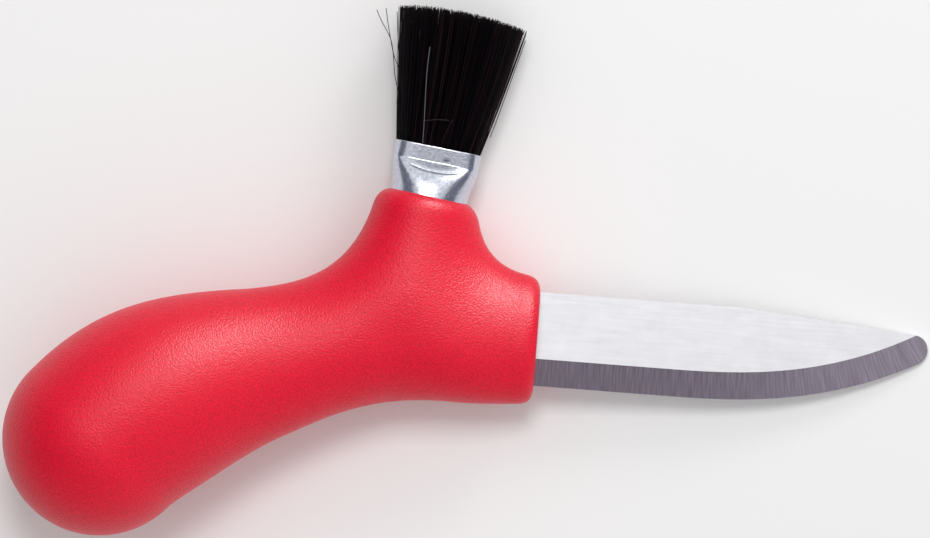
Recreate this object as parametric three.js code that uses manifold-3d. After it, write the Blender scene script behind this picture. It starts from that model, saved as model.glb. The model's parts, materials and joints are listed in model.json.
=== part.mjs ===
// Mushroom knife: a short curved blade and a brush, set in one moulded handle.
// Lengths are millimetres. The knife is drawn flat: X runs to the blade's tip, Y to the brush
// and Z out of the blade's side, from the middle of the handle's front face. At the end it is
// laid on its side, where it rests on the handle's ball, the bristles and the blade's tip.
import * as THREE from 'three';
import { mergeVertices } from 'three/addons/utils/BufferGeometryUtils.js';
import Module from 'manifold-3d';

// Clearance that a piece keeps to the piece it is seated in
const FIT_GAP = 0.3;

// Blade: outside the handle it is straight, then the edge rises in a belly to a rounded nose
const BLADE_LENGTH = 69.5;
const BLADE_HEIGHT = 16.7;
const BLADE_THICKNESS = 1.8;
const EDGE_THICKNESS = 0.15;
const BEVEL_WIDTH = 4.85;
const BELLY_START = 24;
const BELLY_RISE = 9.9;
const BELLY_POWER = 2.56;
const SPINE_STRAIGHT = 36;
const NOSE_RADIUS = 2.7;

// Tang: the part of the blade that the handle is moulded round
const SHOULDER_DEPTH = 2.5;
const TANG_LENGTH = 40;
const TANG_HEIGHT = 9;
const TANG_STEP = 0.8;
const TANG_SLOPE_DEG = 6;
const LOCK_HOLE_DIAMETER = 5;
const LOCK_HOLE_SETBACK = 13;
const LOCK_HOLE_SPACING = 17;

// Handle: an oval grip swept along a curved axis from the ball end to the front face
const HANDLE_LENGTH = 93.6;
const BALL_DROP = 23.6;
const AXIS_LEAVE_X = 9.1;
const AXIS_LEAVE_Y = 10.5;
const AXIS_BEND_X = 43.7;
const AXIS_BEND_DROP = 1;
const FRONT_RUN = 16.8;
const BALL_WIDTH = 34.6;
const PALM_WIDTH = 34.2;
const WAIST_WIDTH = 27;
const NECK_WIDTH = 17.6;
const COLLAR_WIDTH = 24.7;
const BALL_THICKNESS = 34.2;
const PALM_THICKNESS = 32.2;
const WAIST_THICKNESS = 23.4;
const NECK_THICKNESS = 17.4;
const COLLAR_THICKNESS = 14.6;
const FRONT_ROUNDING = 2.5;

// Stub: the short round branch of the handle that holds the brush
const STUB_SETBACK = 24.35;
const STUB_HEIGHT = 24.2;
const STUB_LEAN_X = 2.8;
const STUB_DIAMETER = 17.6;
const STUB_ROUNDING = 3.5;
const STUB_FOOT_ROUNDING = 9;
const STUB_FILLET = 20.8;
const FLANK_FILLET = 8;

// Brush: a sleeve that is round in the stub and pressed flat at its mouth, full of hair
const BRUSH_LEAN_DEG = 7;
const BRUSH_SHIFT = 0.45;
const FERRULE_DIAMETER = 14;
const FERRULE_SEAT = 12;
const FERRULE_RISE = 8.5;
const FERRULE_BAND = 3.2;
const FERRULE_WALL = 0.4;
const MOUTH_WIDTH = 15.6;
const MOUTH_THICKNESS = 8.6;
const GLUE_BED = 1.2;
const GLUE_KEY = 2.5;
const SETTING_RECESS = 1.8;
const BACKING_SLICE = 1;
const HAIR_LENGTH = 24.6;
const HAIR_TIP_WIDTH = 23;
const HAIR_TIP_THICKNESS = 11.6;
const HAIR_SWAY = -0.3;
const HAIR_DOME = 1.1;
const HAIR_ROOT_DIAMETER = 0.36;
const HAIR_TIP_DIAMETER = 0.22;
const HAIR_SPACING = 0.56;
const ROW_CROWN = 0.96;

// Fineness of the meshes
const HANDLE_CELL = 2.2;
const AXIS_SAMPLES = 120;
const ROUND_SIDES = 40;
const BELLY_STEPS = 10;
const NOSE_STEPS = 6;

// Ways to make and cut closed solids

const wasm = await Module();
wasm.setup();

function geometryFromFaces(corners) {
  return mergeVertices(new THREE.BufferGeometry().setFromPoints(corners), 1e-4);
}

function toSolid(geometry) {
  const bare = geometry.clone();
  bare.deleteAttribute('normal');
  bare.deleteAttribute('uv');
  const merged = mergeVertices(bare, 1e-4);
  return new wasm.Manifold(new wasm.Mesh({
    numProp: 3,
    vertProperties: Float32Array.from(merged.attributes.position.array),
    triVerts: Uint32Array.from(merged.index.array),
  }));
}

function toGeometry(solid) {
  const { vertProperties, triVerts } = solid.getMesh();
  const geometry = new THREE.BufferGeometry();
  geometry.setAttribute('position', new THREE.BufferAttribute(vertProperties, 3));
  geometry.setIndex(new THREE.BufferAttribute(triVerts, 1));
  return geometry;
}

function piece(name, geometry, color, roughness, metalness) {
  geometry.computeVertexNormals();
  const mesh = new THREE.Mesh(geometry, new THREE.MeshStandardMaterial({ color, roughness, metalness }));
  mesh.name = name;
  return mesh;
}

// A flat part whose thickness varies: each plan point's z is its half-thickness there.
// Regions cover the plan; rims are its outer outline, anticlockwise, and its holes, clockwise.
function plateGeometry(regions, rims) {
  const corners = [];
  const below = (point) => new THREE.Vector3(point.x, point.y, -point.z);
  for (const [outline, ...holes] of regions) {
    const points = [outline, ...holes].flat();
    for (const [i, j, k] of THREE.ShapeUtils.triangulateShape(outline, holes)) {
      const turn = THREE.ShapeUtils.area([points[i], points[j], points[k]]);
      const [a, b, c] = turn > 0 ? [points[i], points[j], points[k]] : [points[i], points[k], points[j]];
      corners.push(a, b, c, below(a), below(c), below(b));
    }
  }
  for (const rim of rims) {
    rim.forEach((a, i) => {
      const b = rim[(i + 1) % rim.length];
      corners.push(below(a), below(b), b, below(a), b, a);
    });
  }
  return geometryFromFaces(corners);
}

// A closed solid through rings of equally many points, from its first ring to its last
function loftGeometry(rings, closedLoop = false) {
  const corners = [];
  const spans = closedLoop ? rings.length : rings.length - 1;
  for (let i = 0; i < spans; i += 1) {
    const near = rings[i];
    const far = rings[(i + 1) % rings.length];
    near.forEach((a, j) => {
      const next = (j + 1) % near.length;
      corners.push(a, far[next], near[next], a, far[j], far[next]);
    });
  }
  if (!closedLoop) {
    for (const [ring, flip] of [[rings[0], false], [rings.at(-1), true]]) {
      const middle = new THREE.Vector3();
      ring.forEach((point) => middle.addScaledVector(point, 1 / ring.length));
      ring.forEach((a, j) => {
        const b = ring[(j + 1) % ring.length];
        corners.push(middle, flip ? b : a, flip ? a : b);
      });
    }
  }
  return geometryFromFaces(corners);
}

// The surface where a field is zero, as a net with one point in each cell that it crosses
function netGeometry(field, box, cell) {
  const count = box.getSize(new THREE.Vector3()).divideScalar(cell).ceil();
  const place = (i, j, k) => new THREE.Vector3(i, j, k).multiplyScalar(cell).add(box.min);
  const rowLength = count.x + 1;
  const layerLength = rowLength * (count.y + 1);
  const index = (i, j, k) => i + j * rowLength + k * layerLength;
  const values = new Float64Array(layerLength * (count.z + 1));
  for (let k = 0; k <= count.z; k += 1) {
    for (let j = 0; j <= count.y; j += 1) {
      for (let i = 0; i <= count.x; i += 1) values[index(i, j, k)] = field(place(i, j, k));
    }
  }
  const netPoints = new Map();
  const steps = [[1, 0, 0], [0, 1, 0], [0, 0, 1]];
  const crosses = (a, b) => (values[a] < 0) !== (values[b] < 0);
  for (let k = 0; k < count.z; k += 1) {
    for (let j = 0; j < count.y; j += 1) {
      for (let i = 0; i < count.x; i += 1) {
        const point = cellPoint(i, j, k);
        if (point) netPoints.set(index(i, j, k), settle(point));
      }
    }
  }
  return geometryFromFaces(netFaces());

  // The mean of the places where the surface cuts the cell's twelve edges
  function cellPoint(i, j, k) {
    const sum = new THREE.Vector3();
    let cuts = 0;
    for (const [axis, step] of steps.entries()) {
      for (const [u, v] of [[0, 0], [1, 0], [0, 1], [1, 1]]) {
        const start = [i, j, k];
        start[(axis + 1) % 3] += u;
        start[(axis + 2) % 3] += v;
        const end = start.map((value, n) => value + step[n]);
        const [a, b] = [index(...start), index(...end)];
        if (!crosses(a, b)) continue;
        sum.add(place(...start).lerp(place(...end), values[a] / (values[a] - values[b])));
        cuts += 1;
      }
    }
    return cuts > 0 ? sum.divideScalar(cuts) : null;
  }

  // Newton steps along the field's slope, on to the surface itself
  function settle(point) {
    const reach = cell / 100;
    for (let round = 0; round < 5; round += 1) {
      const slope = new THREE.Vector3(...steps.map(([x, y, z]) => {
        const step = new THREE.Vector3(x, y, z).multiplyScalar(reach);
        return (field(point.clone().add(step)) - field(point.clone().sub(step))) / (2 * reach);
      }));
      point.addScaledVector(slope, -field(point) / slope.lengthSq());
    }
    return point;
  }

  // One quad round each grid edge that the surface cuts, split along its shorter diagonal
  function netFaces() {
    const corners = [];
    for (let k = 1; k < count.z; k += 1) {
      for (let j = 1; j < count.y; j += 1) {
        for (let i = 1; i < count.x; i += 1) {
          for (const [axis, step] of steps.entries()) {
            const a = index(i, j, k);
            const b = index(i + step[0], j + step[1], k + step[2]);
            if (!crosses(a, b)) continue;
            const back = [steps[(axis + 1) % 3], steps[(axis + 2) % 3]].map(([x, y, z]) => index(x, y, z));
            const quad = [a - back[0] - back[1], a - back[1], a, a - back[0]].map((n) => netPoints.get(n));
            if (values[a] > 0) quad.reverse();
            const [p, q, r, s] = quad;
            if (p.distanceTo(r) < q.distanceTo(s)) corners.push(p, q, r, p, r, s);
            else corners.push(p, q, s, q, r, s);
          }
        }
      }
    }
    return corners;
  }
}

// Blade and tang

const bladeHalf = BLADE_THICKNESS / 2;
const edgeHalf = EDGE_THICKNESS / 2;
const bellyLength = BLADE_LENGTH - BELLY_START;
const bellyShare = (x) => Math.max(0, (x - BELLY_START) / bellyLength);
const edgeY = (x) => -BLADE_HEIGHT / 2 + BELLY_RISE * bellyShare(x) ** BELLY_POWER;
const edgeSlope = (x) => (BELLY_RISE * BELLY_POWER * bellyShare(x) ** (BELLY_POWER - 1)) / bellyLength;
const grindY = (x) => edgeY(x) + BEVEL_WIDTH * Math.hypot(1, edgeSlope(x));

// The nose is an arc that touches the edge at its foot and the spine at its top
const noseX = BLADE_LENGTH - NOSE_RADIUS;
let noseFoot = noseX;
for (let round = 0; round < 20; round += 1) {
  noseFoot = noseX + NOSE_RADIUS * Math.sin(Math.atan(edgeSlope(noseFoot)));
}
const footTurn = Math.atan(edgeSlope(noseFoot));
const noseY = edgeY(noseFoot) + NOSE_RADIUS * Math.cos(footTurn);
const spineFall = (BLADE_HEIGHT / 2 - noseY - NOSE_RADIUS) / (noseX - SPINE_STRAIGHT);
const spineY = (x) => BLADE_HEIGHT / 2 - spineFall * Math.max(0, x - SPINE_STRAIGHT);

// Half-thickness of the ground blade over a point of its plan
function groundHalf(x, y) {
  const share = (y - edgeY(x)) / (grindY(x) - edgeY(x));
  return THREE.MathUtils.lerp(edgeHalf, bladeHalf, THREE.MathUtils.clamp(share, 0, 1));
}

function nosePoint(angle) {
  const x = noseX + NOSE_RADIUS * Math.cos(angle);
  const y = noseY + NOSE_RADIUS * Math.sin(angle);
  return new THREE.Vector3(x, y, groundHalf(x, y));
}

// The angle on the nose at which the grind line runs out of the blade
function grindExit() {
  let low = 0;
  let high = Math.PI / 2;
  for (let round = 0; round < 40; round += 1) {
    const middle = (low + high) / 2;
    const point = nosePoint(middle);
    if (point.y > grindY(point.x)) high = middle;
    else low = middle;
  }
  return high;
}

const tangSlope = THREE.MathUtils.degToRad(TANG_SLOPE_DEG);

// The tang's plan, grown on every side: its outline, from the upper root round to the lower
// one, and its locking holes
function tangPlan(grow) {
  const along = new THREE.Vector3(-Math.cos(tangSlope), -Math.sin(tangSlope), 0);
  const across = new THREE.Vector3(-Math.sin(tangSlope), Math.cos(tangSlope), 0);
  const rootX = -SHOULDER_DEPTH - grow;
  const middle = new THREE.Vector3(rootX, grindY(0) + TANG_STEP + TANG_HEIGHT / 2, bladeHalf + grow);
  const half = TANG_HEIGHT / 2 + grow;
  const place = (run, side) => middle.clone().addScaledVector(along, run).addScaledVector(across, side);
  const straight = TANG_LENGTH - TANG_HEIGHT / 2 - grow;
  const rootShift = half * Math.tan(tangSlope);
  const outline = [place(-rootShift, half)];
  for (let step = 0; step <= ROUND_SIDES / 2; step += 1) {
    const angle = Math.PI / 2 - (step / (ROUND_SIDES / 2)) * Math.PI;
    outline.push(place(straight + half * Math.cos(angle), half * Math.sin(angle)));
  }
  outline.push(place(rootShift, -half));
  const holes = [0, 1].map((n) => {
    const centre = LOCK_HOLE_SETBACK - SHOULDER_DEPTH - grow + n * LOCK_HOLE_SPACING;
    const radius = LOCK_HOLE_DIAMETER / 2 - grow;
    return Array.from({ length: ROUND_SIDES / 2 }, (_, step) => {
      const angle = (step / (ROUND_SIDES / 2)) * Math.PI * 2;
      return place(centre + radius * Math.cos(angle), radius * Math.sin(angle));
    });
  });
  return { outline, holes };
}

// Points on the edge, the grind line and the spine at one place along the blade
function station(x, grow) {
  return {
    edge: new THREE.Vector3(x, edgeY(x) - grow, edgeHalf + grow),
    grind: new THREE.Vector3(x, grindY(x), bladeHalf + grow),
    spine: new THREE.Vector3(x, spineY(x) + grow, bladeHalf + grow),
  };
}

// The tang and shoulders up to a place just in front of the handle
const clearOfHandle = 4 * FIT_GAP;
function tangRegions(grow) {
  const { outline, holes } = tangPlan(grow);
  const shoulder = station(-SHOULDER_DEPTH - grow, grow);
  const front = station(clearOfHandle, grow);
  const flat = [front.grind, front.spine, shoulder.spine, ...outline, shoulder.grind];
  const bevel = [shoulder.edge, front.edge, front.grind, shoulder.grind];
  return { shoulder, front, outline, holes, regions: [[flat, ...holes], [bevel]] };
}

// The slot that the tang leaves in the handle, with posts through the locking holes
function tangSlotGeometry() {
  const { shoulder, front, outline, holes, regions } = tangRegions(FIT_GAP);
  const frontRim = [shoulder.edge, front.edge, front.grind, front.spine, shoulder.spine];
  return plateGeometry(regions, [[...frontRim, ...outline, shoulder.grind], ...holes]);
}

function bladeGeometry() {
  const { shoulder, front, outline, holes, regions } = tangRegions(0);
  const stations = [front, station((clearOfHandle + BELLY_START) / 2, 0)];
  for (let step = 0; step <= BELLY_STEPS; step += 1) {
    stations.push(station(THREE.MathUtils.lerp(BELLY_START, noseX, step / BELLY_STEPS), 0));
  }
  for (let i = 0; i + 1 < stations.length; i += 1) {
    const [near, far] = [stations[i], stations[i + 1]];
    regions.push([[near.grind, far.grind, far.spine, near.spine]]);
    regions.push([[near.edge, far.edge, far.grind, near.grind]]);
  }
  const exit = grindExit();
  const foot = footTurn - Math.PI / 2;
  const noseArc = [];
  for (let step = 0; step <= NOSE_STEPS; step += 1) {
    noseArc.push(nosePoint(THREE.MathUtils.lerp(foot, exit, step / NOSE_STEPS)));
  }
  const last = stations.at(-1);
  regions.push([[last.edge, ...noseArc, last.grind]]);
  regions.push([[last.grind, noseArc.at(-1), last.spine]]);
  const edges = stations.map(({ edge }) => edge);
  const spines = stations.map(({ spine }) => spine).reverse();
  const rim = [shoulder.edge, ...edges, ...noseArc, ...spines, shoulder.spine, ...outline, shoulder.grind];
  return plateGeometry(regions, [rim, ...holes]);
}

// Brush, drawn along its own Y axis from the top of the stub

const brush = new THREE.Group();
brush.position.set(STUB_LEAN_X - STUB_SETBACK + BRUSH_SHIFT, STUB_HEIGHT, 0);
brush.rotation.z = -THREE.MathUtils.degToRad(BRUSH_LEAN_DEG);
brush.updateMatrix();

const mouth = FERRULE_RISE;
const root = mouth - SETTING_RECESS;
const ferruleFoot = -FERRULE_SEAT;
const glueBedTop = ferruleFoot - FIT_GAP;
const socketFloor = glueBedTop - GLUE_BED - FIT_GAP;
const settingFoot = ferruleFoot + GLUE_KEY + FIT_GAP;
const settingTop = root - BACKING_SLICE - FIT_GAP;
const strandMargin = FERRULE_WALL + FIT_GAP + HAIR_ROOT_DIAMETER / 2;

// The sleeve's section: a circle in the stub that turns to a flat-sided oval at the mouth
function ferruleRing(height, inset) {
  const flat = THREE.MathUtils.smoothstep(height, FIT_GAP, FERRULE_RISE - FERRULE_BAND);
  const halfWidth = THREE.MathUtils.lerp(FERRULE_DIAMETER, MOUTH_WIDTH, flat) / 2 - inset;
  const halfThickness = THREE.MathUtils.lerp(FERRULE_DIAMETER, MOUTH_THICKNESS, flat) / 2 - inset;
  const squareness = THREE.MathUtils.lerp(2, 3, flat);
  const bend = (value) => Math.sign(value) * Math.abs(value) ** (2 / squareness);
  return Array.from({ length: ROUND_SIDES }, (_, step) => {
    const angle = ((step + 0.5) / ROUND_SIDES) * Math.PI * 2;
    return new THREE.Vector3(
      halfWidth * bend(Math.cos(angle)),
      height,
      halfThickness * bend(Math.sin(angle)),
    );
  });
}

// Heights between two ends, with the sleeve's change of section in even steps
function ferruleHeights(low, high) {
  const change = [0, 0.25, 0.5, 0.75, 1].map((share) => {
    return THREE.MathUtils.lerp(FIT_GAP, FERRULE_RISE - FERRULE_BAND, share);
  });
  return [low, ...change.filter((height) => height > low && height < high), high];
}

function ferruleGeometry() {
  const heights = ferruleHeights(ferruleFoot, mouth);
  const outside = heights.map((height) => ferruleRing(height, 0));
  const inside = heights.reverse().map((height) => ferruleRing(height, FERRULE_WALL));
  return loftGeometry([...outside, ...inside], true);
}

// A plug that fills the sleeve between two heights
function plugGeometry(low, high) {
  const inset = FERRULE_WALL + FIT_GAP;
  return loftGeometry(ferruleHeights(low, high).map((height) => ferruleRing(height, inset)));
}

function adhesiveGeometry() {
  const bedRadius = FERRULE_DIAMETER / 2;
  const keyRadius = FERRULE_DIAMETER / 2 - FERRULE_WALL - FIT_GAP;
  const profile = [
    [0, glueBedTop - GLUE_BED],
    [bedRadius, glueBedTop - GLUE_BED],
    [bedRadius, glueBedTop],
    [keyRadius, glueBedTop],
    [keyRadius, ferruleFoot + GLUE_KEY],
    [0, ferruleFoot + GLUE_KEY],
  ];
  return new THREE.LatheGeometry(profile.map(([x, y]) => new THREE.Vector2(x, y)), ROUND_SIDES);
}

function socketGeometry() {
  const top = FERRULE_RISE;
  const radius = FERRULE_DIAMETER / 2 + FIT_GAP;
  const hole = new THREE.CylinderGeometry(radius, radius, top - socketFloor, ROUND_SIDES);
  return hole.translate(0, (top + socketFloor) / 2, 0).applyMatrix4(brush.matrix);
}

// One strand from the backing to its tip. A place in the tuft runs from -1 to 1 each way.
function strandGeometry(acrossWidth, acrossThickness) {
  const atMouth = new THREE.Vector3(
    acrossWidth * (MOUTH_WIDTH / 2 - strandMargin),
    mouth,
    acrossThickness * (MOUTH_THICKNESS / 2 - strandMargin),
  );
  const tip = new THREE.Vector3(
    acrossWidth * (HAIR_TIP_WIDTH / 2) + HAIR_SWAY,
    mouth + HAIR_LENGTH - HAIR_DOME * acrossWidth ** 2,
    acrossThickness * (HAIR_TIP_THICKNESS / 2),
  );
  const along = tip.clone().sub(atMouth);
  const sunk = BACKING_SLICE / 2;
  const start = atMouth.clone().addScaledVector(along, -(SETTING_RECESS + sunk) / along.y);
  const length = start.distanceTo(tip);
  const strand = new THREE.CylinderGeometry(HAIR_TIP_DIAMETER / 2, HAIR_ROOT_DIAMETER / 2, length, 3);
  const turn = new THREE.Quaternion().setFromUnitVectors(new THREE.Vector3(0, 1, 0), along.normalize());
  const middle = start.lerp(tip, 0.5);
  return strand.applyQuaternion(turn).translate(middle.x, middle.y, middle.z);
}

// Strands stand in rows over the oval of the mouth, fused to a slice of their setting
function bristlesGeometry() {
  const rowGap = (HAIR_SPACING * Math.sqrt(3)) / 2;
  const rows = Math.floor((MOUTH_THICKNESS - 2 * strandMargin) / rowGap);
  const strands = [toSolid(plugGeometry(root - BACKING_SLICE, root))];
  for (let row = 0; row <= rows; row += 1) {
    const acrossThickness = (2 * row) / rows - 1;
    const halfRow = (1 - Math.min(Math.abs(acrossThickness), ROW_CROWN) ** 3) ** (1 / 3);
    const columns = Math.floor((halfRow * (MOUTH_WIDTH - 2 * strandMargin)) / HAIR_SPACING);
    for (let column = 0; column <= columns; column += 1) {
      const acrossWidth = halfRow * ((2 * column) / columns - 1);
      strands.push(toSolid(strandGeometry(acrossWidth, acrossThickness)));
    }
  }
  return toGeometry(wasm.Manifold.union(strands));
}

// Handle

const frontMiddle = new THREE.Vector2(FRONT_RUN, 0);
const ballMiddle = new THREE.Vector2(BALL_WIDTH / 2 - HANDLE_LENGTH, -BALL_DROP);
const gripAxis = new THREE.CubicBezierCurve(
  ballMiddle,
  ballMiddle.clone().add(new THREE.Vector2(AXIS_LEAVE_X, AXIS_LEAVE_Y)),
  new THREE.Vector2(-AXIS_BEND_X, -AXIS_BEND_DROP),
  frontMiddle,
);
// Half the grip's width and thickness, from the ball end to the front
const gripGirth = new THREE.SplineCurve([
  new THREE.Vector2(BALL_WIDTH, BALL_THICKNESS),
  new THREE.Vector2(PALM_WIDTH, PALM_THICKNESS),
  new THREE.Vector2(WAIST_WIDTH, WAIST_THICKNESS),
  new THREE.Vector2(NECK_WIDTH, NECK_THICKNESS),
  new THREE.Vector2(COLLAR_WIDTH, COLLAR_THICKNESS),
].map((girth) => girth.divideScalar(2)));
const gripSections = Array.from({ length: AXIS_SAMPLES + 1 }, (_, step) => {
  const share = step / AXIS_SAMPLES;
  return { middle: gripAxis.getPoint(share), girth: gripGirth.getPoint(share) };
});
const stubFoot = new THREE.Vector2(-STUB_SETBACK, 0);
const stubAxis = new THREE.Vector2(STUB_LEAN_X, STUB_HEIGHT);
const stubLength = stubAxis.length();
stubAxis.normalize();

// The lesser of two fields, rounded over a width where they are close
function smoothMin(a, b, width) {
  const share = Math.max(0, width - Math.abs(a - b)) / width;
  return Math.min(a, b) - (share * share * width) / 4;
}
const smoothMax = (a, b, width) => -smoothMin(-a, -b, width);

// Depth is below zero inside the grip, which is a row of ovals along its axis. Flank is the
// share of the way out from the axis that is through the grip's thickness.
function gripField({ x, y, z }) {
  let nearest = { depth: Infinity, flank: 0 };
  for (const { middle, girth } of gripSections) {
    const flattened = (Math.abs(z) * girth.x) / girth.y;
    const reach = Math.hypot(x - middle.x, y - middle.y, flattened);
    if (reach - girth.x < nearest.depth) nearest = { depth: reach - girth.x, flank: flattened / reach };
  }
  return nearest;
}

// Below zero inside the handle. The fillet round the stub is widest in the blade's plane, and
// narrower on the flanks, where the stub and the grip are level with each other.
function handleField(point) {
  const fromFoot = new THREE.Vector2(point.x, point.y).sub(stubFoot);
  const along = fromFoot.dot(stubAxis);
  const across = fromFoot.cross(stubAxis);
  const sideways = Math.hypot(across, point.z);
  const stub = smoothMax(sideways - STUB_DIAMETER / 2, -along, STUB_FOOT_ROUNDING);
  const grip = gripField(point);
  const level = sideways > 0 ? (grip.flank * Math.abs(point.z)) / sideways : 0;
  const joined = smoothMin(grip.depth, stub, THREE.MathUtils.lerp(STUB_FILLET, FLANK_FILLET, level));
  const fronted = smoothMax(joined, point.x, FRONT_ROUNDING);
  return smoothMax(fronted, along - stubLength, STUB_ROUNDING);
}

function handleGeometry() {
  const room = 2.5 * HANDLE_CELL;
  const halfThick = Math.max(BALL_THICKNESS, PALM_THICKNESS, STUB_DIAMETER) / 2 + room;
  const halfWide = Math.max(BALL_WIDTH, PALM_WIDTH) / 2 + room;
  const box = new THREE.Box3(
    new THREE.Vector3(-HANDLE_LENGTH - room, -BALL_DROP - halfWide, -halfThick),
    new THREE.Vector3(room, STUB_HEIGHT + STUB_DIAMETER / 2 + room, halfThick),
  );
  const body = toSolid(netGeometry(handleField, box, HANDLE_CELL));
  return toGeometry(body.subtract(toSolid(socketGeometry())).subtract(toSolid(tangSlotGeometry())));
}

// The pieces

const knife = new THREE.Group();
const handle = piece('handle', handleGeometry(), 0xe23a50, 0.45, 0);
const blade = piece('blade', bladeGeometry(), 0xd6d7db, 0.3, 1);
const bristles = piece('bristles', bristlesGeometry(), 0x0d0b10, 0.5, 0);
brush.add(bristles);
brush.add(piece('brush_ferrule', ferruleGeometry(), 0xc9c9cf, 0.25, 1));
brush.add(piece('bristle_setting', plugGeometry(settingFoot, settingTop), 0x7d5a32, 0.4, 0));
brush.add(piece('brush_adhesive', adhesiveGeometry(), 0xd9cfae, 0.5, 0));
knife.add(handle, blade, brush);

// The knife lies on three points: one on the ball, one on the blade and one on the bristles
function lowestPoint(mesh, up) {
  mesh.updateWorldMatrix(true, false);
  const { position } = mesh.geometry.attributes;
  let lowest = null;
  for (let n = 0; n < position.count; n += 1) {
    const point = new THREE.Vector3().fromBufferAttribute(position, n).applyMatrix4(mesh.matrixWorld);
    if (!lowest || point.dot(up) < lowest.dot(up)) lowest = point;
  }
  return lowest;
}

const up = new THREE.Vector3(0, 0, 1);
for (let round = 0; round < 10; round += 1) {
  const [ball, tip, tuft] = [handle, blade, bristles].map((mesh) => lowestPoint(mesh, up));
  up.crossVectors(tip.sub(ball), tuft.sub(ball)).normalize();
}
const ahead = new THREE.Vector3(1, 0, 0).projectOnPlane(up).normalize();
const sideways = new THREE.Vector3().crossVectors(up, ahead);
knife.applyMatrix4(new THREE.Matrix4().makeBasis(ahead, sideways, up).transpose());

// The origin is under the middle of the laid knife, on the surface that it lies on
const laid = new THREE.Box3().setFromObject(knife, true);
const middle = laid.getCenter(new THREE.Vector3());
knife.position.sub(new THREE.Vector3(middle.x, middle.y, laid.min.z));

const group = new THREE.Group();
group.add(knife);

export default group;
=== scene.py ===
import json
import math

import bmesh
import bpy
import numpy as np
from mathutils import Matrix, Vector
from mathutils.geometry import tessellate_polygon


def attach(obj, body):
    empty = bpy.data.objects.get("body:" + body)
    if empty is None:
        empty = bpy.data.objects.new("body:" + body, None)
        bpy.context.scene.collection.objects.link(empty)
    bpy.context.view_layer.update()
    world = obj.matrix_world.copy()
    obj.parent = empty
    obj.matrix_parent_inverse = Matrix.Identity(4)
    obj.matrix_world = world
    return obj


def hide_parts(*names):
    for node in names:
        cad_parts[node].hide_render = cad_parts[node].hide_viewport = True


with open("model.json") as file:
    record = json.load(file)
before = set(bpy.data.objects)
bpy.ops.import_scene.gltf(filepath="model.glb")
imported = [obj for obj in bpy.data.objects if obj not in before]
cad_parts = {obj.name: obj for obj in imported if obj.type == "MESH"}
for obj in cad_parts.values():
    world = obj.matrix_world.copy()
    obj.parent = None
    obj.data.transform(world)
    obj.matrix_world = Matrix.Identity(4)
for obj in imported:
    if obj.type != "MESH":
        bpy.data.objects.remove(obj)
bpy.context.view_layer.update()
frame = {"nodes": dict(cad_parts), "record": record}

# Blade
# A stainless strip punched to its outline, ground to a bevel on both sides of the edge and blunt
# at its round nose. The flats keep the pale satin of rolled sheet, and the bevels the lines of the
# wheel. Its tang has two holes that the handle's plastic fills, so that it can't pull out.

# The knife's own frame is in millimetres from the middle of the handle's front face: X runs to the
# tip, Y to the brush and Z out of the blade's side. The two mounts say how it stands in the row.
METRES = 0.001
front_mount_place = Vector((0, 1.2, 4))
mounts = {mount["name"]: mount for mount in frame["record"]["mounts"]}
knife_x = Vector(mounts["front_face"]["axis"]).normalized()
knife_z = Vector(mounts["blade_flat"]["axis"]).normalized()
knife_turn = Matrix((knife_x, knife_z.cross(knife_x), knife_z)).transposed()
knife_origin = Vector(mounts["front_face"]["pos_m"]) - knife_turn @ (front_mount_place * METRES)
knife_to_row = Matrix.Translation(knife_origin) @ knife_turn.to_4x4() @ Matrix.Scale(METRES, 4)


def knife_box(node):
    """Lowest and highest corner of a CAD node in the knife's own frame, in millimetres."""
    row_to_knife = knife_to_row.inverted()
    places = np.array([row_to_knife @ vertex.co for vertex in frame["nodes"][node].data.vertices])
    return places.min(0), places.max(0)


blade_low, blade_high = knife_box("blade")
blade_length = blade_high[0]
blade_height = blade_high[1] - blade_low[1]
blade_half = (blade_high[2] - blade_low[2]) / 2
edge_half = 0.05
bevel_width = 4.85
belly_start = 24
belly_rise = 9.9
belly_power = 2.56
spine_straight = 36
nose_radius = 2.7
shoulder_depth = 2.5
tang_height = 9
tang_step = 0.8
tang_slope = math.radians(6)
tang_length = (-blade_low[0] - shoulder_depth) / math.cos(tang_slope)
lock_hole_radius = 2.5
lock_hole_runs = (10.5, 27.5)
spine_chamfer = 0.05


def edge_y(x):
    share = max(0, (x - belly_start) / (blade_length - belly_start))
    return -blade_height / 2 + belly_rise * share ** belly_power


def edge_slope(x):
    share = max(0, (x - belly_start) / (blade_length - belly_start))
    return belly_rise * belly_power * share ** (belly_power - 1) / (blade_length - belly_start)


def grind_y(x):
    return edge_y(x) + bevel_width * math.hypot(1, edge_slope(x))


nose_x = blade_length - nose_radius
nose_foot = nose_x
for _ in range(20):
    nose_foot = nose_x + nose_radius * math.sin(math.atan(edge_slope(nose_foot)))
foot_turn = math.atan(edge_slope(nose_foot))
nose_y = edge_y(nose_foot) + nose_radius * math.cos(foot_turn)
spine_fall = (blade_height / 2 - nose_y - nose_radius) / (nose_x - spine_straight)


def spine_y(x):
    return blade_height / 2 - spine_fall * max(0, x - spine_straight)


def nose_point(angle):
    """A point of the round nose; its third number is half the thickness left by the grinding."""
    x = nose_x + nose_radius * math.cos(angle)
    y = nose_y + nose_radius * math.sin(angle)
    share = (y - edge_y(x)) / (grind_y(x) - edge_y(x))
    return x, y, edge_half + (blade_half - edge_half) * min(1, max(0, share))


def blade_station(x, grow=0):
    """Points of the edge, the grind line and the spine at one place along the blade."""
    return ((x, edge_y(x) - grow, edge_half + grow), (x, grind_y(x), blade_half + grow),
            (x, spine_y(x) + grow, blade_half + grow))


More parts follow.
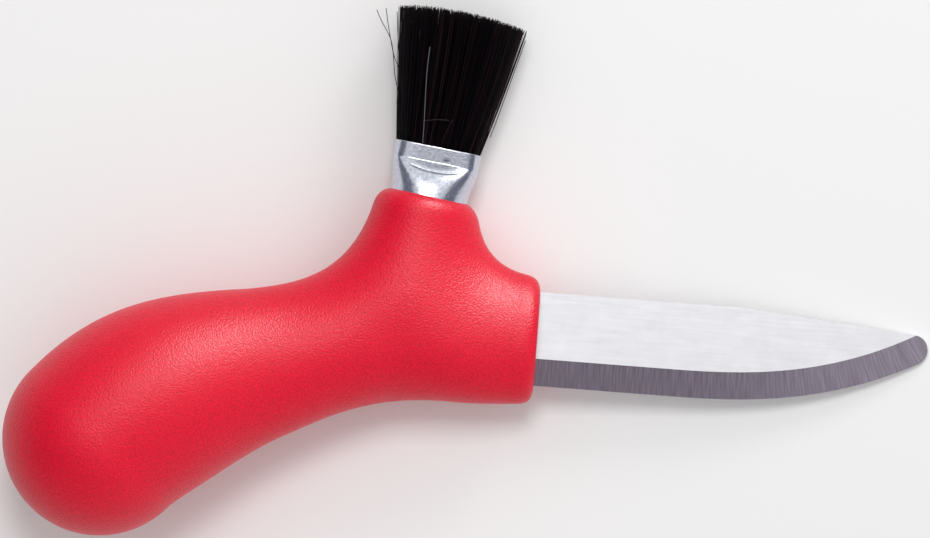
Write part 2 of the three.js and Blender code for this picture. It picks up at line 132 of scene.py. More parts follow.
def tang_outline(grow=0):
    """The tang from its upper root round its end to its lower root, and its holes."""
    along = Vector((-math.cos(tang_slope), -math.sin(tang_slope)))
    across = Vector((-math.sin(tang_slope), math.cos(tang_slope)))
    middle = Vector((-shoulder_depth - grow, grind_y(0) + tang_step + tang_height / 2))
    half = tang_height / 2 + grow

    def place(run, side):
        return (*(middle + along * run + across * side), blade_half + grow)

    shift = half * math.tan(tang_slope)
    straight = tang_length - tang_height / 2 - grow
    turns = [math.pi / 2 - math.pi * step / 16 for step in range(17)]
    end = [place(straight + half * math.cos(turn), half * math.sin(turn)) for turn in turns]
    holes = []
    for run in lock_hole_runs:
        radius = lock_hole_radius - grow
        turns = [2 * math.pi * step / 24 for step in range(24)]
        holes.append([place(run - grow + radius * math.cos(t), radius * math.sin(t)) for t in turns])
    return [place(-shift, half), *end, place(shift, -half)], holes


def plate_mesh(name, regions, rims):
    """A flat part from plan points (x, y, half thickness). A region is a kind, an outline and holes."""
    sheet = bmesh.new()
    corners = {}

    def corner(point, side):
        key = (round(point[0], 4), round(point[1], 4), side)
        if key not in corners:
            corners[key] = sheet.verts.new((point[0], point[1], side * point[2]))
        return corners[key]

    for kind, outline, *holes in regions:
        points = [point for ring in (outline, *holes) for point in ring]
        if holes:
            rings = [[Vector((x, y, 0)) for x, y, _ in ring] for ring in (outline, *holes)]
            polygons = tessellate_polygon(rings)
        else:
            polygons = [range(len(outline))]
        for polygon in polygons:
            for side in (1, -1):
                face = sheet.faces.new([corner(points[i], side) for i in polygon])
                face.material_index = kind
    for kind, rim in rims:
        for a, b in zip(rim, rim[1:] + rim[:1]):
            wall = [corner(a, -1), corner(b, -1), corner(b, 1), corner(a, 1)]
            sheet.faces.new(wall).material_index = kind
    bmesh.ops.recalc_face_normals(sheet, faces=sheet.faces)
    mesh = bpy.data.meshes.new(name)
    sheet.to_mesh(mesh)
    sheet.free()
    return mesh


FLAT, BEVEL = 0, 1
front_clear = 1.2
outline, holes = tang_outline()
shoulder = blade_station(-shoulder_depth)
places = [*np.linspace(front_clear, belly_start, 4), *np.linspace(belly_start, nose_x, 49)[1:]]
stations = [blade_station(x) for x in places]
grind_exit = next(turn for turn in np.linspace(math.pi / 2, 0, 2000)
                  if nose_point(turn)[1] < grind_y(nose_point(turn)[0]))
nose_arc = [nose_point(turn) for turn in np.linspace(foot_turn - math.pi / 2, grind_exit, 25)]
regions = [(FLAT, [stations[0][1], stations[0][2], shoulder[2], *outline, shoulder[1]], *holes),
           (BEVEL, [shoulder[0], stations[0][0], stations[0][1], shoulder[1]])]
for near, far in zip(stations, stations[1:]):
    regions.append((FLAT, [near[1], far[1], far[2], near[2]]))
    regions.append((BEVEL, [near[0], far[0], far[1], near[1]]))
regions.append((FLAT, [stations[-1][1], nose_arc[-1], stations[-1][2]]))
for near, far in zip([stations[-1][0], *nose_arc], nose_arc):
    regions.append((BEVEL, [near, far, stations[-1][1]]))
rim = [shoulder[0], *(s[0] for s in stations), *nose_arc, *(s[2] for s in reversed(stations)),
       shoulder[2], *outline, shoulder[1]]
blade_mesh = plate_mesh("blade_steel", regions, [(FLAT, rim), *((FLAT, hole) for hole in holes)])


def linear(code):
    """A colour written as an sRGB hex code, in the linear values that shaders take."""
    parts = [int(code[i:i + 2], 16) / 255 for i in (1, 3, 5)]
    return (*(p / 12.92 if p <= 0.04045 else ((p + 0.055) / 1.055) ** 2.4 for p in parts), 1)


def add_node(tree, kind, inputs=None, **settings):
    """One node with its settings; inputs are values, or the sockets that they come from."""
    node = tree.nodes.new(kind)
    for key, value in settings.items():
        setattr(node, key, value)
    for socket, source in (inputs or {}).items():
        if isinstance(source, bpy.types.NodeSocket):
            tree.links.new(source, node.inputs[socket])
        else:
            node.inputs[socket].default_value = source
    return node


def new_material(name, **shader):
    """A material with a Principled shader, and the knife's own millimetres to draw patterns in."""
    material = bpy.data.materials.new(name)
    material.use_nodes = True
    tree = material.node_tree
    principled = tree.nodes["Principled BSDF"]
    for socket, value in shader.items():
        principled.inputs[socket.replace("_", " ")].default_value = value
    row_to_knife = knife_to_row.inverted()
    coords = add_node(tree, "ShaderNodeTexCoord")
    place = add_node(tree, "ShaderNodeMapping", {
        "Vector": coords.outputs["Object"],
        "Location": row_to_knife.to_translation(),
        "Rotation": row_to_knife.to_euler(),
        "Scale": [1 / METRES] * 3,
    })
    return material, tree, principled, place.outputs["Vector"]


# Satin stainless: rolled sheet, so pale and soft, with a faint grain along the strip and cloudy marks
blade_satin, tree, shader, place = new_material(
    "satin_stainless", Metallic=1.0, Roughness=0.24, Base_Color=linear("#F2F2F4"))
rolling = add_node(tree, "ShaderNodeMapping", {"Vector": place, "Scale": (0.12, 2.4, 1)})
grain = add_node(tree, "ShaderNodeTexNoise", {"Vector": rolling.outputs[0], "Scale": 1.0, "Detail": 4.0})
cloud = add_node(tree, "ShaderNodeTexNoise", {
    "Vector": place, "Scale": 0.35, "Detail": 5.0, "Roughness": 0.65})
marks = add_node(tree, "ShaderNodeMix", {"Factor": 0.5, 2: cloud.outputs["Fac"], 3: grain.outputs["Fac"]})
tone = add_node(tree, "ShaderNodeMix", {
    "Factor": marks.outputs[0], "A": linear("#D6D6DC"), "B": linear("#F4F4F6")}, data_type="RGBA")
tree.links.new(tone.outputs["Result"], shader.inputs["Base Color"])
rough = add_node(tree, "ShaderNodeMapRange", {
    "Value": grain.outputs["Fac"], "To Min": 0.18, "To Max": 0.28})
tree.links.new(rough.outputs["Result"], shader.inputs["Roughness"])
relief = add_node(tree, "ShaderNodeBump", {
    "Height": grain.outputs["Fac"], "Strength": 0.12, "Distance": 0.00002})
tree.links.new(relief.outputs["Normal"], shader.inputs["Normal"])

# Ground stainless: the wheel's scratches run across the bevel, about a third of a millimetre apart
blade_ground, tree, shader, place = new_material("ground_stainless", Metallic=1.0, Roughness=0.22)
along = add_node(tree, "ShaderNodeAttribute", attribute_name="along_edge")
parts = add_node(tree, "ShaderNodeSeparateXYZ", {"Vector": place})
across = add_node(tree, "ShaderNodeMath", {0: parts.outputs["Y"], 1: 0.05}, operation="MULTIPLY")
wheel = add_node(tree, "ShaderNodeCombineXYZ", {"X": along.outputs["Fac"], "Y": across.outputs[0], "Z": 0.0})
scratch = add_node(tree, "ShaderNodeTexNoise", {
    "Vector": wheel.outputs[0], "Scale": 3.2, "Detail": 2.0, "Roughness": 0.6})
depth = add_node(tree, "ShaderNodeMapRange", {
    "Value": scratch.outputs["Fac"], "From Min": 0.35, "From Max": 0.65})
tone = add_node(tree, "ShaderNodeMix", {
    "Factor": depth.outputs["Result"], "A": linear("#D2CCD6"), "B": linear("#F0ECF4")}, data_type="RGBA")
tree.links.new(tone.outputs["Result"], shader.inputs["Base Color"])
relief = add_node(tree, "ShaderNodeBump", {
    "Height": scratch.outputs["Fac"], "Strength": 0.15, "Distance": 0.00001})
tree.links.new(relief.outputs["Normal"], shader.inputs["Normal"])


def finished(name, mesh, materials, modifiers=(), to_row=knife_to_row, sharp=35):
    """An object of the finished mesh, laid in the row: modifiers applied and hard edges marked."""
    mesh.transform(to_row)
    for material in materials:
        mesh.materials.append(material)
    piece = bpy.data.objects.new(name, mesh)
    bpy.context.scene.collection.objects.link(piece)
    for kind, settings in modifiers:
        modifier = piece.modifiers.new(kind.lower(), kind)
        for key, value in settings.items():
            setattr(modifier, key, value)
    if modifiers:
        graph = bpy.context.evaluated_depsgraph_get()
        piece.data = bpy.data.meshes.new_from_object(piece.evaluated_get(graph))
        piece.modifiers.clear()
    piece.data.shade_smooth()
    piece.data.set_sharp_from_angle(angle=math.radians(sharp))
    return piece


along_edge = blade_mesh.attributes.new("along_edge", "FLOAT", "POINT")
for vertex in blade_mesh.vertices:
    x, y, _ = vertex.co
    along_edge.data[vertex.index].value = x + edge_slope(x) * (y - edge_y(x))
weights = blade_mesh.attributes.new("bevel_weight_edge", "FLOAT", "EDGE")
for edge in blade_mesh.edges:
    a, b = (blade_mesh.vertices[i].co for i in edge.vertices)
    on_spine = all(p.x > -shoulder_depth - 0.01 and p.y > spine_y(p.x) - 0.01 for p in (a, b))
    weights.data[edge.index].value = 1.0 if on_spine and a.z * b.z > 0 else 0.0
chamfer = {"width": spine_chamfer * METRES, "segments": 2, "limit_method": "WEIGHT"}
blade = finished("blade_steel", blade_mesh, [blade_satin, blade_ground], [("BEVEL", chamfer)], sharp=4)
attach(blade, "root")
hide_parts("blade")

# Handle
# One polypropylene moulding, injected round the tang: a ball that fills the palm, a grip that
# curves up to a collar, and a stub for the brush. The mould was spark-eroded, so the red skin has
# a fine pebbled grain and no gloss.
handle_low, handle_high = knife_box("handle")
handle_length = -handle_low[0]
ball_drop = 23.6
axis_leave = np.array((9.1, 10.5))
axis_bend = np.array((-43.7, -1.0))
axis_end = np.array((16.8, 0.0))
grip_widths = np.array((34.6, 34.2, 27.0, 17.6, 24.7)) / 2
grip_thicknesses = np.array((34.2, 32.2, 23.4, 17.4, 14.6)) / 2
front_rounding = 2.5
stub_foot = np.array((-24.35, 0.0))
stub_top = np.array((-21.55, 24.2))
stub_radius = 8.8
stub_foot_rounding = 9.0
stub_rounding = 3.5
stub_fillet = 20.8
flank_fillet = 8.0
handle_cell = 0.8
skin_inset = 0.02
axis_samples = 120


def smooth_through(values, shares):
    """A smooth curve through evenly spaced values, at shares of its length."""
    padded = np.concatenate((values[:1], values, values[-1:]))
    run = np.clip(shares, 0, 1) * (len(values) - 1)
    i = np.minimum(run.astype(int), len(values) - 2)
    w = run - i
    p0, p1, p2, p3 = (padded[i + n] for n in range(4))
    v0, v1 = (p2 - p0) / 2, (p3 - p1) / 2
    return (2 * p1 - 2 * p2 + v0 + v1) * w ** 3 + (3 * p2 - 3 * p1 - 2 * v0 - v1) * w ** 2 + v0 * w + p1


ball_middle = np.array((grip_widths[0] - handle_length, -ball_drop))
shares = np.linspace(0, 1, axis_samples + 1)
bend = np.array((ball_middle, ball_middle + axis_leave, axis_bend, axis_end))
grip_axis = sum(np.outer(math.comb(3, n) * (1 - shares) ** (3 - n) * shares ** n, bend[n]) for n in range(4))
grip_half_widths = smooth_through(grip_widths, shares)
grip_half_thicknesses = smooth_through(grip_thicknesses, shares)


def smooth_min(a, b, width):
    share = np.maximum(width - np.abs(a - b), 0) / width
    return np.minimum(a, b) - share * share * width / 4


def handle_field(points):
    """Below zero inside the handle: ovals along the grip's axis, filleted into the stub.

    The fillet narrows on the flanks, where the stub and the grip are level with each other.
    """
    x, y, z = points.T
    grip = np.full(len(points), np.inf)
    flank = np.zeros(len(points))
    for (axis_x, axis_y), half, thick in zip(grip_axis, grip_half_widths, grip_half_thicknesses):
        flattened = np.abs(z) * (half / thick)
        reach = np.sqrt((x - axis_x) ** 2 + (y - axis_y) ** 2 + flattened ** 2)
        nearer = reach - half < grip
        grip[nearer] = reach[nearer] - half
        flank[nearer] = flattened[nearer] / reach[nearer]
    stub_run = stub_top - stub_foot
    stub_length = np.hypot(*stub_run)
    ahead = stub_run / stub_length
    along = (x - stub_foot[0]) * ahead[0] + (y - stub_foot[1]) * ahead[1]
    across = (x - stub_foot[0]) * ahead[1] - (y - stub_foot[1]) * ahead[0]
    sideways = np.hypot(across, z)
    stub = -smooth_min(stub_radius - sideways, along, stub_foot_rounding)
    level = flank * np.abs(z) / np.maximum(sideways, 1e-9)
    joined = smooth_min(grip, stub, stub_fillet + (flank_fillet - stub_fillet) * level)
    fronted = -smooth_min(-joined, -x, front_rounding)
    return -smooth_min(-fronted, -(along - stub_length), stub_rounding) + skin_inset


def net_mesh(name, field, low, high, cell):
    """The surface where a field is zero: one point in each grid cell that it cuts, joined in quads."""
    axes = [np.arange(a, b + cell, cell) for a, b in zip(low, high)]
    grid = np.stack(np.meshgrid(*axes, indexing="ij"), -1)
    value = field(grid.reshape(-1, 3)).reshape(grid.shape[:3])
    inside = value < 0
    cells = tuple(n - 1 for n in value.shape)
    total = np.zeros((*cells, 3))
    cuts = np.zeros(cells)
    for axis in range(3):
        others = [n for n in range(3) if n != axis]
        for u in (0, 1):
            for v in (0, 1):
                start = [slice(0, n) for n in cells]
                start[others[0]] = slice(u, cells[others[0]] + u)
                start[others[1]] = slice(v, cells[others[1]] + v)
                end = list(start)
                end[axis] = slice(1, cells[axis] + 1)
                start, end = tuple(start), tuple(end)
                cut = inside[start] != inside[end]
                share = np.where(cut, value[start] / np.where(cut, value[start] - value[end], 1), 0)
                point = grid[start] + (grid[end] - grid[start]) * share[..., None]
                total += point * cut[..., None]
                cuts += cut
    used = cuts > 0
    numbers = np.full(cells, -1)
    numbers[used] = np.arange(used.sum())
    points = total[used] / cuts[used][:, None]
    reach = cell / 50
    for _ in range(4):
        slope = np.stack([(field(points + step) - field(points - step)) / (2 * reach)
                          for step in np.eye(3) * reach], -1)
        points -= slope * (field(points) / (slope ** 2).sum(-1))[:, None]
    quads = []
    for axis in range(3):
        b, c = (axis + 1) % 3, (axis + 2) % 3
        near = [slice(1, n) for n in cells]
        near[axis] = slice(0, cells[axis])
        far = list(near)
        far[axis] = slice(1, cells[axis] + 1)
        i = np.argwhere(inside[tuple(near)] != inside[tuple(far)])
        i[:, [b, c]] += 1
        step_b, step_c = np.eye(3, dtype=int)[[b, c]]
        ring = np.stack([numbers[tuple(n.T)] for n in (i - step_b - step_c, i - step_c, i, i - step_b)], -1)
        outward = inside[tuple(i.T)]
        quads.append(np.where(outward[:, None], ring, ring[:, ::-1]))
    mesh = bpy.data.meshes.new(name)
    mesh.from_pydata(points.tolist(), [], np.concatenate(quads).tolist())
    return mesh


room = np.full(3, 2 * handle_cell)
handle_mesh = net_mesh("handle_moulding", handle_field, handle_low - room, handle_high + room, handle_cell)

# Moulded polypropylene: a dull red skin, pebbled by the spark-eroded mould. Its peaks are glossier than its
# pits, and its red is painted darker in the pits as shade and paler on the peaks as a glint, which makes the
# fine speckle.
handle_skin, tree, shader, place = new_material(
    "moulded_polypropylene", IOR=1.49, Specular_IOR_Level=0.32)
pebble = add_node(tree, "ShaderNodeTexNoise", {
    "Vector": place, "Scale": 3.2, "Detail": 1.0, "Roughness": 0.5})
pit_shade_peak_glint = add_node(tree, "ShaderNodeMapRange", {
    "Value": pebble.outputs["Fac"], "From Min": 0.3, "From Max": 0.7})
# Painted shade and highlight: the red is darker where the pebble's bump is low and paler where it is high
tone = add_node(tree, "ShaderNodeMix", {
    "Factor": pit_shade_peak_glint.outputs["Result"], "A": linear("#D2062A"), "B": linear("#F20A33")}, data_type="RGBA")
tree.links.new(tone.outputs["Result"], shader.inputs["Base Color"])
rough = add_node(tree, "ShaderNodeMapRange", {
    "Value": pebble.outputs["Fac"], "To Min": 0.46, "To Max": 0.32})
tree.links.new(rough.outputs["Result"], shader.inputs["Roughness"])
relief = add_node(tree, "ShaderNodeBump", {
    "Height": pebble.outputs["Fac"], "Strength": 0.8, "Distance": 0.00012})
tree.links.new(relief.outputs["Normal"], shader.inputs["Normal"])

# The brush's own frame: Y along the brush from the top of the stub, X across it, Z through it
brush_lean = math.radians(7)
brush_foot = Vector((-21.1, 24.2, 0))
brush_to_knife = Matrix.Translation(brush_foot) @ Matrix.Rotation(-brush_lean, 4, "Z")
brush_to_row = knife_to_row @ brush_to_knife
ferrule_radius = 7.0
ferrule_seat = 12.0
glue_bed = 1.2
moulding_gap = 0.04

# What the tang and the brush's sleeve leave in the moulding
tang_front = blade_station(front_clear, moulding_gap)
tang_back = blade_station(-shoulder_depth - moulding_gap, moulding_gap)
outline, holes = tang_outline(moulding_gap)
slot_rim = [tang_back[0], *tang_front, tang_back[2], *outline, tang_back[1]]
slot_mesh = plate_mesh("tang_slot", [
    (0, [tang_front[1], tang_front[2], tang_back[2], *outline, tang_back[1]], *holes),
    (0, [tang_back[0], tang_front[0], tang_front[1], tang_back[1]]),
], [(0, slot_rim), *((0, hole) for hole in holes)])
socket = bmesh.new()
socket_low, socket_high = -ferrule_seat - glue_bed - 0.6, 4.0
bmesh.ops.create_cone(socket, cap_ends=True, segments=96, radius1=ferrule_radius + moulding_gap,
                      radius2=ferrule_radius + moulding_gap, depth=socket_high - socket_low)
bmesh.ops.rotate(socket, verts=socket.verts, matrix=Matrix.Rotation(math.pi / 2, 3, "X"))
bmesh.ops.translate(socket, verts=socket.verts, vec=(0, (socket_low + socket_high) / 2, 0))
socket_mesh = bpy.data.meshes.new("brush_socket")
socket.to_mesh(socket_mesh)
socket.free()
cutters = [finished("tang_slot", slot_mesh, []), finished("brush_socket", socket_mesh, [], (), brush_to_row)]
cuts = [("BOOLEAN", {"operation": "DIFFERENCE", "solver": "EXACT", "object": cutter}) for cutter in cutters]
handle = finished("handle_moulding", handle_mesh, [handle_skin], cuts)
for cutter in cutters:
    bpy.data.objects.remove(cutter)
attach(handle, "root")
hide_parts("handle")

# Glue in the socket, and the resin that sets the hair
# Both are out of sight. The glue was poured into the socket before the brush was pushed in, and
# rose into the sleeve's open end. The amber resin was cast round the roots of the hair.
glue_skin, tree, shader, place = new_material("cured_glue", Roughness=0.5, Base_Color=linear("#D9CFAE"))
blotch = add_node(tree, "ShaderNodeTexNoise", {"Vector": place, "Scale": 0.8, "Detail": 3.0})
tone = add_node(tree, "ShaderNodeMix", {
    "Factor": blotch.outputs["Fac"], "A": linear("#C9BD97"), "B": linear("#E6DEC4")}, data_type="RGBA")
tree.links.new(tone.outputs["Result"], shader.inputs["Base Color"])
resin_skin, tree, shader, place = new_material(
    "cast_resin", Roughness=0.25, Base_Color=linear("#7D5A32"), IOR=1.55)
blotch = add_node(tree, "ShaderNodeTexNoise", {"Vector": place, "Scale": 1.2, "Detail": 4.0})
tone = add_node(tree, "ShaderNodeMix", {
    "Factor": blotch.outputs["Fac"], "A": linear("#5E4021"), "B": linear("#93703F")}, data_type="RGBA")
tree.links.new(tone.outputs["Result"], shader.inputs["Base Color"])
for node, material in (("brush_adhesive", glue_skin), ("bristle_setting", resin_skin)):
    hidden = frame["nodes"][node]
    hidden.data.materials.clear()
    hidden.data.materials.append(material)

# Ferrule
# A sleeve of thin plated steel, round where it is glued into the stub. A press flattened its
# upper end on the hair: that left a plain band at the mouth, a slanting facet below it on each
# face, a curved crease across the facet and a few dents.
ferrule_rise = 8.5
band_height = 2.8
sheet_wall = 0.4
mouth_half_width = 7.8
mouth_half_thickness = 4.3
band_foot_half_thickness = 4.0
press_foot = -0.5
press_rounding = 3.0
crease_height = 4.0
crease_curve = 0.033
crease_depth = 0.14
crease_width = 0.2
crease_reach = 5.2
crease_fade = 1.5
rim_rounding = 0.15
dent_place = (1.9, 6.1)
dent_depth = 0.06
dent_width = 0.45


def ease(share):
    share = np.clip(share, 0, 1)
    return share * share * (3 - 2 * share)


def ferrule_section(height, inset, sides=160):
    """One ring of the sleeve at a height above the stub: a circle that two pressed faces cut."""
    band_foot = ferrule_rise - band_height
    pressed = np.clip((height - press_foot) / (band_foot - press_foot), 0, 1)
    flare = np.clip((height - band_foot) / band_height, 0, 1)
    untouched = ferrule_radius + 0.6 * press_rounding
    face = untouched + (band_foot_half_thickness - untouched) * pressed
    face += (mouth_half_thickness - band_foot_half_thickness) * flare
    radius = ferrule_radius + (mouth_half_width - ferrule_radius) * ease(height / band_foot)
    turns = (np.arange(sides) + 0.5) / sides * 2 * np.pi
    across = radius * np.cos(turns)
    through = smooth_min(radius * np.abs(np.sin(turns)), face, press_rounding)
    crease = (height - crease_height - crease_curve * across ** 2) / crease_width
    dent = ((across - dent_place[0]) ** 2 + (height - dent_place[1]) ** 2) / dent_width ** 2
    fade = ease((crease_reach - np.abs(across)) / crease_fade)
    through -= crease_depth * np.exp(-crease ** 2) * fade * pressed
    through -= dent_depth * np.exp(-dent) * pressed
    reach = np.hypot(across, through)
    shrink = 1 - inset / np.maximum(reach, 1e-9)
    return np.stack((across * shrink, np.full(sides, height), np.sign(np.sin(turns)) * through * shrink), -1)


rim_foot = ferrule_rise - rim_rounding
heights = [*np.linspace(-ferrule_seat, press_foot, 6), *np.linspace(press_foot, rim_foot, 90)[1:]]
rim_turns = np.linspace(0, np.pi, 7)
rings = [ferrule_section(h, 0) for h in heights]
for turn in rim_turns[1:-1]:
    lift = rim_foot + rim_rounding * math.sin(turn)
    rings.append(ferrule_section(lift, sheet_wall * (1 - math.cos(turn)) / 2))
rings += [ferrule_section(h, sheet_wall) for h in heights[::-1]]
sleeve = np.array(rings)
count, sides = sleeve.shape[:2]
numbers = np.arange(count * sides).reshape(count, sides)
ahead = np.roll(numbers, -1, 0)
faces = np.stack((numbers, ahead, np.roll(ahead, -1, 1), np.roll(numbers, -1, 1)), -1).reshape(-1, 4)
ferrule_mesh = bpy.data.meshes.new("brush_ferrule_sleeve")
ferrule_mesh.from_pydata(sleeve.reshape(-1, 3).tolist(), [], faces.tolist())

# Plated steel sheet: bright, with cloudy pressing marks that are a few tenths of a millimetre wide
ferrule_skin, tree, shader, place = new_material(
    "plated_steel_sheet", Metallic=1.0, Roughness=0.2, Base_Color=linear("#C8CCD8"))
mottle = add_node(tree, "ShaderNodeTexNoise", {
    "Vector": place, "Scale": 2.2, "Detail": 4.0, "Roughness": 0.7})
cloud = add_node(tree, "ShaderNodeMapRange", {
    "Value": mottle.outputs["Fac"], "From Min": 0.3, "From Max": 0.7})
tone = add_node(tree, "ShaderNodeMix", {
    "Factor": cloud.outputs["Result"], "A": linear("#B2B8C6"), "B": linear("#DEE1EA")}, data_type="RGBA")
tree.links.new(tone.outputs["Result"], shader.inputs["Base Color"])
rough = add_node(tree, "ShaderNodeMapRange", {"Value": mottle.outputs["Fac"], "To Min": 0.1, "To Max": 0.34})
tree.links.new(rough.outputs["Result"], shader.inputs["Roughness"])
relief = add_node(tree, "ShaderNodeBump", {
    "Height": mottle.outputs["Fac"], "Strength": 0.35, "Distance": 0.00006})
tree.links.new(relief.outputs["Normal"], shader.inputs["Normal"])
ferrule = finished("brush_ferrule_sleeve", ferrule_mesh, [ferrule_skin], (), brush_to_row)
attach(ferrule, "root")
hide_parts("brush_ferrule")

# Bristles
# A tuft of black hair, cut nearly level and fanned by its own spring where it leaves the ferrule.
# Most hairs lie close; a few stray at the edges, and an odd one is grey or brown.
hair_length = 24.2
hair_recess = 1.8
hair_margin = 0.5
tip_width = 23.0
tip_thickness = 10.2
tip_sway = -0.3
tip_dome = 1.1
hair_diameter = 0.13
tip_taper = 0.55
tip_looseness = (0.5, 0.4, 0.4)
hair_bow = (0.28, 0, -0.28)

# Black hair: nearly black with a warm cast and a dull sheen; some hairs are brown, very few grey
hair_skin, tree, shader, place = new_material("black_hair", Roughness=0.5, IOR=1.5, Specular_IOR_Level=0.15)
luck = add_node(tree, "ShaderNodeAttribute", attribute_name="chance")
pick = add_node(tree, "ShaderNodeSeparateXYZ", {"Vector": luck.outputs["Vector"]})
tone = add_node(tree, "ShaderNodeValToRGB", {"Fac": pick.outputs["X"]})
ramp = tone.color_ramp
ramp.elements[0].color = linear("#050306")
ramp.elements[1].color = linear("#6A676C")
for share, code in ((0.75, "#0D080B"), (0.9, "#261315"), (0.99, "#301C1B")):
    ramp.elements.new(share).color = linear(code)
tree.links.new(tone.outputs["Color"], shader.inputs["Base Color"])


def tuft_tree():
    """A node tree that grows fanned hairs from the oval that it is given."""
    tree = bpy.data.node_groups.new("bristle_tuft", "GeometryNodeTree")

    def number(operation, a, b=0.0):
        return add_node(tree, "ShaderNodeMath", {0: a, 1: b}, operation=operation).outputs[0]

    def vector(operation, a, b):
        return add_node(tree, "ShaderNodeVectorMath", {0: a, 1: b}, operation=operation).outputs[0]

    sockets = {}
    sizes = (("Length", hair_length), ("Recess", hair_recess), ("Dome", tip_dome), ("Sway", tip_sway),
             ("Width Spread", tip_width / (2 * (mouth_half_width - hair_margin))),
             ("Thickness Spread", tip_thickness / (2 * (mouth_half_thickness - hair_margin))),
             ("Half Width", mouth_half_width - hair_margin), ("Hair Diameter", hair_diameter),
             ("Hairs Per Area", 48.0), ("Least Gap", 0.15))
    tree.interface.new_socket("Geometry", in_out="INPUT", socket_type="NodeSocketGeometry")
    for name, size in sizes:
        sockets[name] = tree.interface.new_socket(name, in_out="INPUT", socket_type="NodeSocketFloat")
    sockets["Seed"] = tree.interface.new_socket("Seed", in_out="INPUT", socket_type="NodeSocketInt")
    tree.interface.new_socket("Geometry", in_out="OUTPUT", socket_type="NodeSocketGeometry")
    given = add_node(tree, "NodeGroupInput").outputs
    roots = add_node(tree, "GeometryNodeDistributePointsOnFaces", {
        "Mesh": given["Geometry"], "Density Max": given["Hairs Per Area"],
        "Distance Min": given["Least Gap"], "Seed": given["Seed"]}, distribute_method="POISSON")
    position = add_node(tree, "GeometryNodeInputPosition")
    chance = add_node(tree, "FunctionNodeRandomValue", {
        "Min": (-1, -1, -1), "Max": (0.985, 1, 1), "Seed": given["Seed"]}, data_type="FLOAT_VECTOR")
    kept = add_node(tree, "GeometryNodeStoreNamedAttribute", {
        "Geometry": roots.outputs["Points"], "Name": "root", "Value": position.outputs[0]},
        data_type="FLOAT_VECTOR", domain="POINT")
    kept = add_node(tree, "GeometryNodeStoreNamedAttribute", {
        "Geometry": kept.outputs[0], "Name": "chance", "Value": chance.outputs[0]},
        data_type="FLOAT_VECTOR", domain="POINT")
    straight = add_node(tree, "GeometryNodeCurvePrimitiveLine", {"Start": (0, 0, 0), "End": (0, 1, 0)})
    jointed = add_node(tree, "GeometryNodeResampleCurve", {"Curve": straight.outputs[0], "Count": 8})
    planted = add_node(tree, "GeometryNodeInstanceOnPoints", {
        "Points": kept.outputs[0], "Instance": jointed.outputs[0]})
    grown = add_node(tree, "GeometryNodeRealizeInstances", {"Geometry": planted.outputs[0]})
    root = add_node(tree, "GeometryNodeInputNamedAttribute", {"Name": "root"}, data_type="FLOAT_VECTOR")
    luck = add_node(tree, "GeometryNodeInputNamedAttribute", {"Name": "chance"}, data_type="FLOAT_VECTOR")
    share = add_node(tree, "GeometryNodeSplineParameter").outputs["Factor"]
    root, luck = root.outputs[0], luck.outputs[0]
    offset = number("DIVIDE", add_node(tree, "ShaderNodeSeparateXYZ", {"Vector": root}).outputs["X"],
                    given["Half Width"])
    drop = number("MULTIPLY", number("MULTIPLY", offset, offset), given["Dome"])
    rise = number("SUBTRACT", given["Length"], drop)
    spread = add_node(tree, "ShaderNodeCombineXYZ", {
        "X": given["Width Spread"], "Y": 1.0, "Z": given["Thickness Spread"]})
    lift = add_node(tree, "ShaderNodeCombineXYZ", {"X": given["Sway"], "Y": rise, "Z": 0.0})
    aimed = vector("ADD", vector("MULTIPLY", root, spread.outputs[0]), lift.outputs[0])
    tip = vector("ADD", aimed, vector("MULTIPLY", luck, tip_looseness))
    sink = add_node(tree, "ShaderNodeCombineXYZ", {"X": 0.0, "Y": given["Recess"], "Z": 0.0})
    foot = vector("SUBTRACT", root, sink.outputs[0])
    along = add_node(tree, "ShaderNodeMix", {"Factor": share, 4: foot, 5: tip}, data_type="VECTOR")
    arch = number("SINE", number("MULTIPLY", share, math.pi))
    bowed = add_node(tree, "ShaderNodeVectorMath", {
        0: vector("MULTIPLY", luck, hair_bow), "Scale": arch}, operation="SCALE")
    bent = add_node(tree, "GeometryNodeSetPosition", {
        "Geometry": grown.outputs[0], "Position": vector("ADD", along.outputs[1], bowed.outputs[0])})
    taper = add_node(tree, "ShaderNodeMapRange", {"Value": share, "To Min": 1.0, "To Max": tip_taper})
    girth = number("MULTIPLY", number("MULTIPLY", given["Hair Diameter"], 0.5), taper.outputs[0])
    ring = add_node(tree, "GeometryNodeCurvePrimitiveCircle", {"Resolution": 4, "Radius": 1.0})
    solid = add_node(tree, "GeometryNodeCurveToMesh", {
        "Curve": bent.outputs[0], "Profile Curve": ring.outputs[0], "Scale": girth, "Fill Caps": True})
    whole = add_node(tree, "GeometryNodeRealizeInstances", {"Geometry": solid.outputs[0]})
    dressed = add_node(tree, "GeometryNodeSetMaterial", {
        "Geometry": whole.outputs[0], "Material": hair_skin})
    add_node(tree, "NodeGroupOutput", {"Geometry": dressed.outputs[0]})
    return tree, {**{name: (sockets[name].identifier, size) for name, size in sizes},
                  "Seed": (sockets["Seed"].identifier, 7)}


oval = ferrule_section(ferrule_rise, hair_margin, 96).tolist()
mouth_mesh = bpy.data.meshes.new("bristle_mouth")
mouth_mesh.from_pydata(oval, [], [range(len(oval))])
tuft = bpy.data.objects.new("bristle_tuft", mouth_mesh)
bpy.context.scene.collection.objects.link(tuft)
grow = tuft.modifiers.new("bristle_tuft", "NODES")
grow.node_group, values = tuft_tree()
for identifier, value in values.values():
    grow[identifier] = value
tuft_mesh = bpy.data.meshes.new_from_object(tuft.evaluated_get(bpy.context.evaluated_depsgraph_get()))
bpy.data.objects.remove(tuft)

